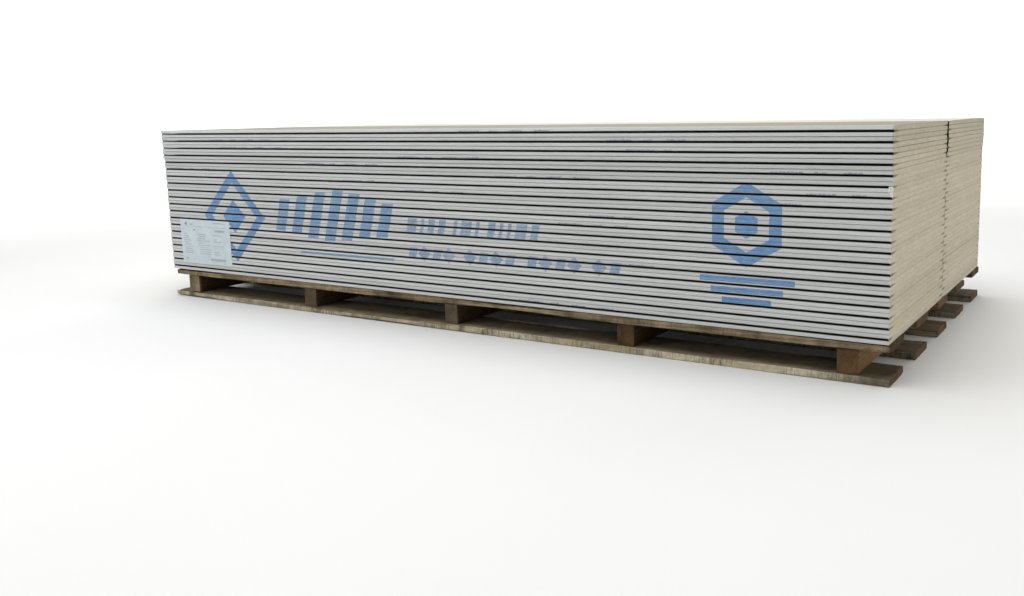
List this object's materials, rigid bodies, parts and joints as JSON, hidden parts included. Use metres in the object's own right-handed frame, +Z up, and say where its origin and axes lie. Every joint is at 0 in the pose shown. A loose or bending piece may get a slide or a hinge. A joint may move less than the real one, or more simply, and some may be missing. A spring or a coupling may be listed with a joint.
{
  "type": "pallet of drywall sheets",
  "caption": "Flat stacks of plasterboard sheets side by side, laid face to face in pairs with tapered edges, on a low timber pallet open to forks from both long sides",
  "frame": {"origin": "Centre of the load's footprint, on the floor", "axes": "+X along the sheets' length, to the right as seen from the front; +Y from the labelled front to the back; +Z up"},
  "size_m": [2.6055, 1.2184, 0.6],
  "materials": {
    "gypsum_board": "matte paper over a gypsum core",
    "pallet_timber": "rough sawn, weathered",
    "label_paper": "matte"
  },
  "bodies": {
    "root": {"bearer_1": "pallet_timber", "bearer_2": "pallet_timber", "bearer_3": "pallet_timber", "bearer_4": "pallet_timber", "bearer_5": "pallet_timber", "deck_board_1": "pallet_timber", "deck_board_2": "pallet_timber", "deck_board_3": "pallet_timber", "deck_board_4": "pallet_timber", "deck_board_5": "pallet_timber", "ground_board_1": "pallet_timber", "ground_board_2": "pallet_timber", "ground_board_3": "pallet_timber", "ground_board_4": "pallet_timber", "ground_board_5": "pallet_timber", "paper_label": "label_paper", "sheet_layer_01": "gypsum_board", "sheet_layer_02": "gypsum_board", "sheet_layer_03": "gypsum_board", "sheet_layer_04": "gypsum_board", "sheet_layer_05": "gypsum_board", "sheet_layer_06": "gypsum_board", "sheet_layer_07": "gypsum_board", "sheet_layer_08": "gypsum_board", "sheet_layer_09": "gypsum_board", "sheet_layer_10": "gypsum_board", "sheet_layer_11": "gypsum_board", "sheet_layer_12": "gypsum_board", "sheet_layer_13": "gypsum_board", "sheet_layer_14": "gypsum_board", "sheet_layer_15": "gypsum_board", "sheet_layer_16": "gypsum_board", "sheet_layer_17": "gypsum_board", "sheet_layer_18": "gypsum_board", "sheet_layer_19": "gypsum_board", "sheet_layer_20": "gypsum_board", "sheet_layer_21": "gypsum_board", "sheet_layer_22": "gypsum_board", "sheet_layer_23": "gypsum_board", "sheet_layer_24": "gypsum_board", "sheet_layer_25": "gypsum_board", "sheet_layer_26": "gypsum_board", "sheet_layer_27": "gypsum_board", "sheet_layer_28": "gypsum_board", "sheet_layer_29": "gypsum_board", "sheet_layer_30": "gypsum_board", "sheet_layer_31": "gypsum_board", "sheet_layer_32": "gypsum_board", "sheet_layer_33": "gypsum_board", "sheet_layer_34": "gypsum_board", "sheet_layer_35": "gypsum_board", "sheet_layer_36": "gypsum_board", "sheet_layer_37": "gypsum_board", "sheet_layer_38": "gypsum_board", "sheet_layer_39": "gypsum_board", "top_sheet_back": "gypsum_board", "top_sheet_front": "gypsum_board"}
  },
  "joints": []
}
